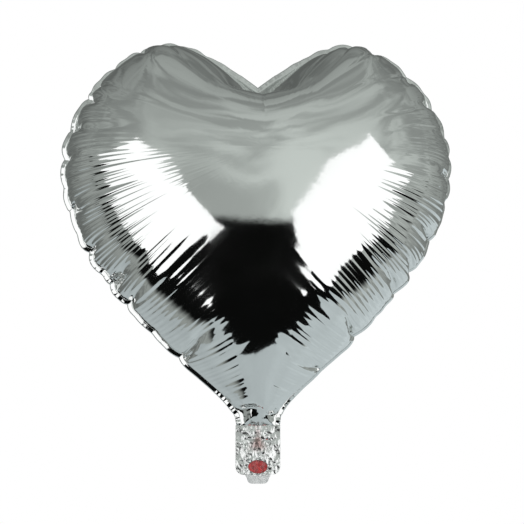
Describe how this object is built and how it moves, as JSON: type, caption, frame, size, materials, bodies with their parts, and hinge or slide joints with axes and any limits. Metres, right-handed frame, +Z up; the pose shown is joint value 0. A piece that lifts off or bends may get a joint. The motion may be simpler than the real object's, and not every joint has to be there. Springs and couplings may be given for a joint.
{
  "type": "heart-shaped foil balloon",
  "caption": "Inflated heart-shaped foil balloon with a welded rim, a tail that folds at the neck, an oval inflation hole and a flat self-sealing film valve.",
  "frame": {"origin": "middle of the fold line at the foot of the neck, where a ribbon is tied", "axes": "+Z up from the tail to the lobes, +X to the right as seen from the front, the front with the oval inflation hole faces -Y"},
  "size_m": [0.384, 0.1948, 0.4262],
  "materials": {
    "metallised_foil": "bright silver metallised plastic film",
    "clear_valve_film": "clear glossy film",
    "red_release_coat": "printed satin red coat"
  },
  "bodies": {
    "envelope": {"front_panel": "metallised_foil", "back_panel": "metallised_foil", "seal_rim": "metallised_foil", "neck_valve_front_film": "clear_valve_film", "neck_valve_back_film": "clear_valve_film", "neck_release_coat": "red_release_coat"},
    "inner_valve": {"inner_valve_front_film": "clear_valve_film", "inner_valve_back_film": "clear_valve_film", "inner_valve_left_seam": "clear_valve_film", "inner_valve_right_seam": "clear_valve_film"},
    "tail": {"tail_front_sheet": "metallised_foil", "tail_back_sheet": "metallised_foil", "tail_left_seal": "metallised_foil", "tail_right_seal": "metallised_foil", "tail_valve_front_film": "clear_valve_film", "tail_valve_back_film": "clear_valve_film", "tail_valve_left_seam": "clear_valve_film", "tail_valve_right_seam": "clear_valve_film", "tail_release_coat": "red_release_coat"},
    "front_lip": {"mouth_front_lip": "clear_valve_film"},
    "back_lip": {"mouth_back_lip": "clear_valve_film"}
  },
  "joints": [
    {"name": "tail_fold", "type": "hinge", "parent": "envelope", "child": "tail", "pos_m": [0, 0, 0], "axis": [1, 0, 0], "range_deg": [-90, 90]},
    {"name": "front_lip_fold", "type": "hinge", "parent": "tail", "child": "front_lip", "pos_m": [0, -0.0006, -0.0461], "axis": [-1, 0, 0], "range_deg": [0, 40]},
    {"name": "back_lip_fold", "type": "hinge", "parent": "tail", "child": "back_lip", "pos_m": [0, 0.0006, -0.0461], "axis": [1, 0, 0], "range_deg": [0, 40]},
    {"name": "inner_valve_bend", "type": "hinge", "parent": "envelope", "child": "inner_valve", "pos_m": [0, 0, 0.0128], "axis": [1, 0, 0], "range_deg": [-12, 12], "stiffness_Nm_per_rad": 0.002}
  ]
}
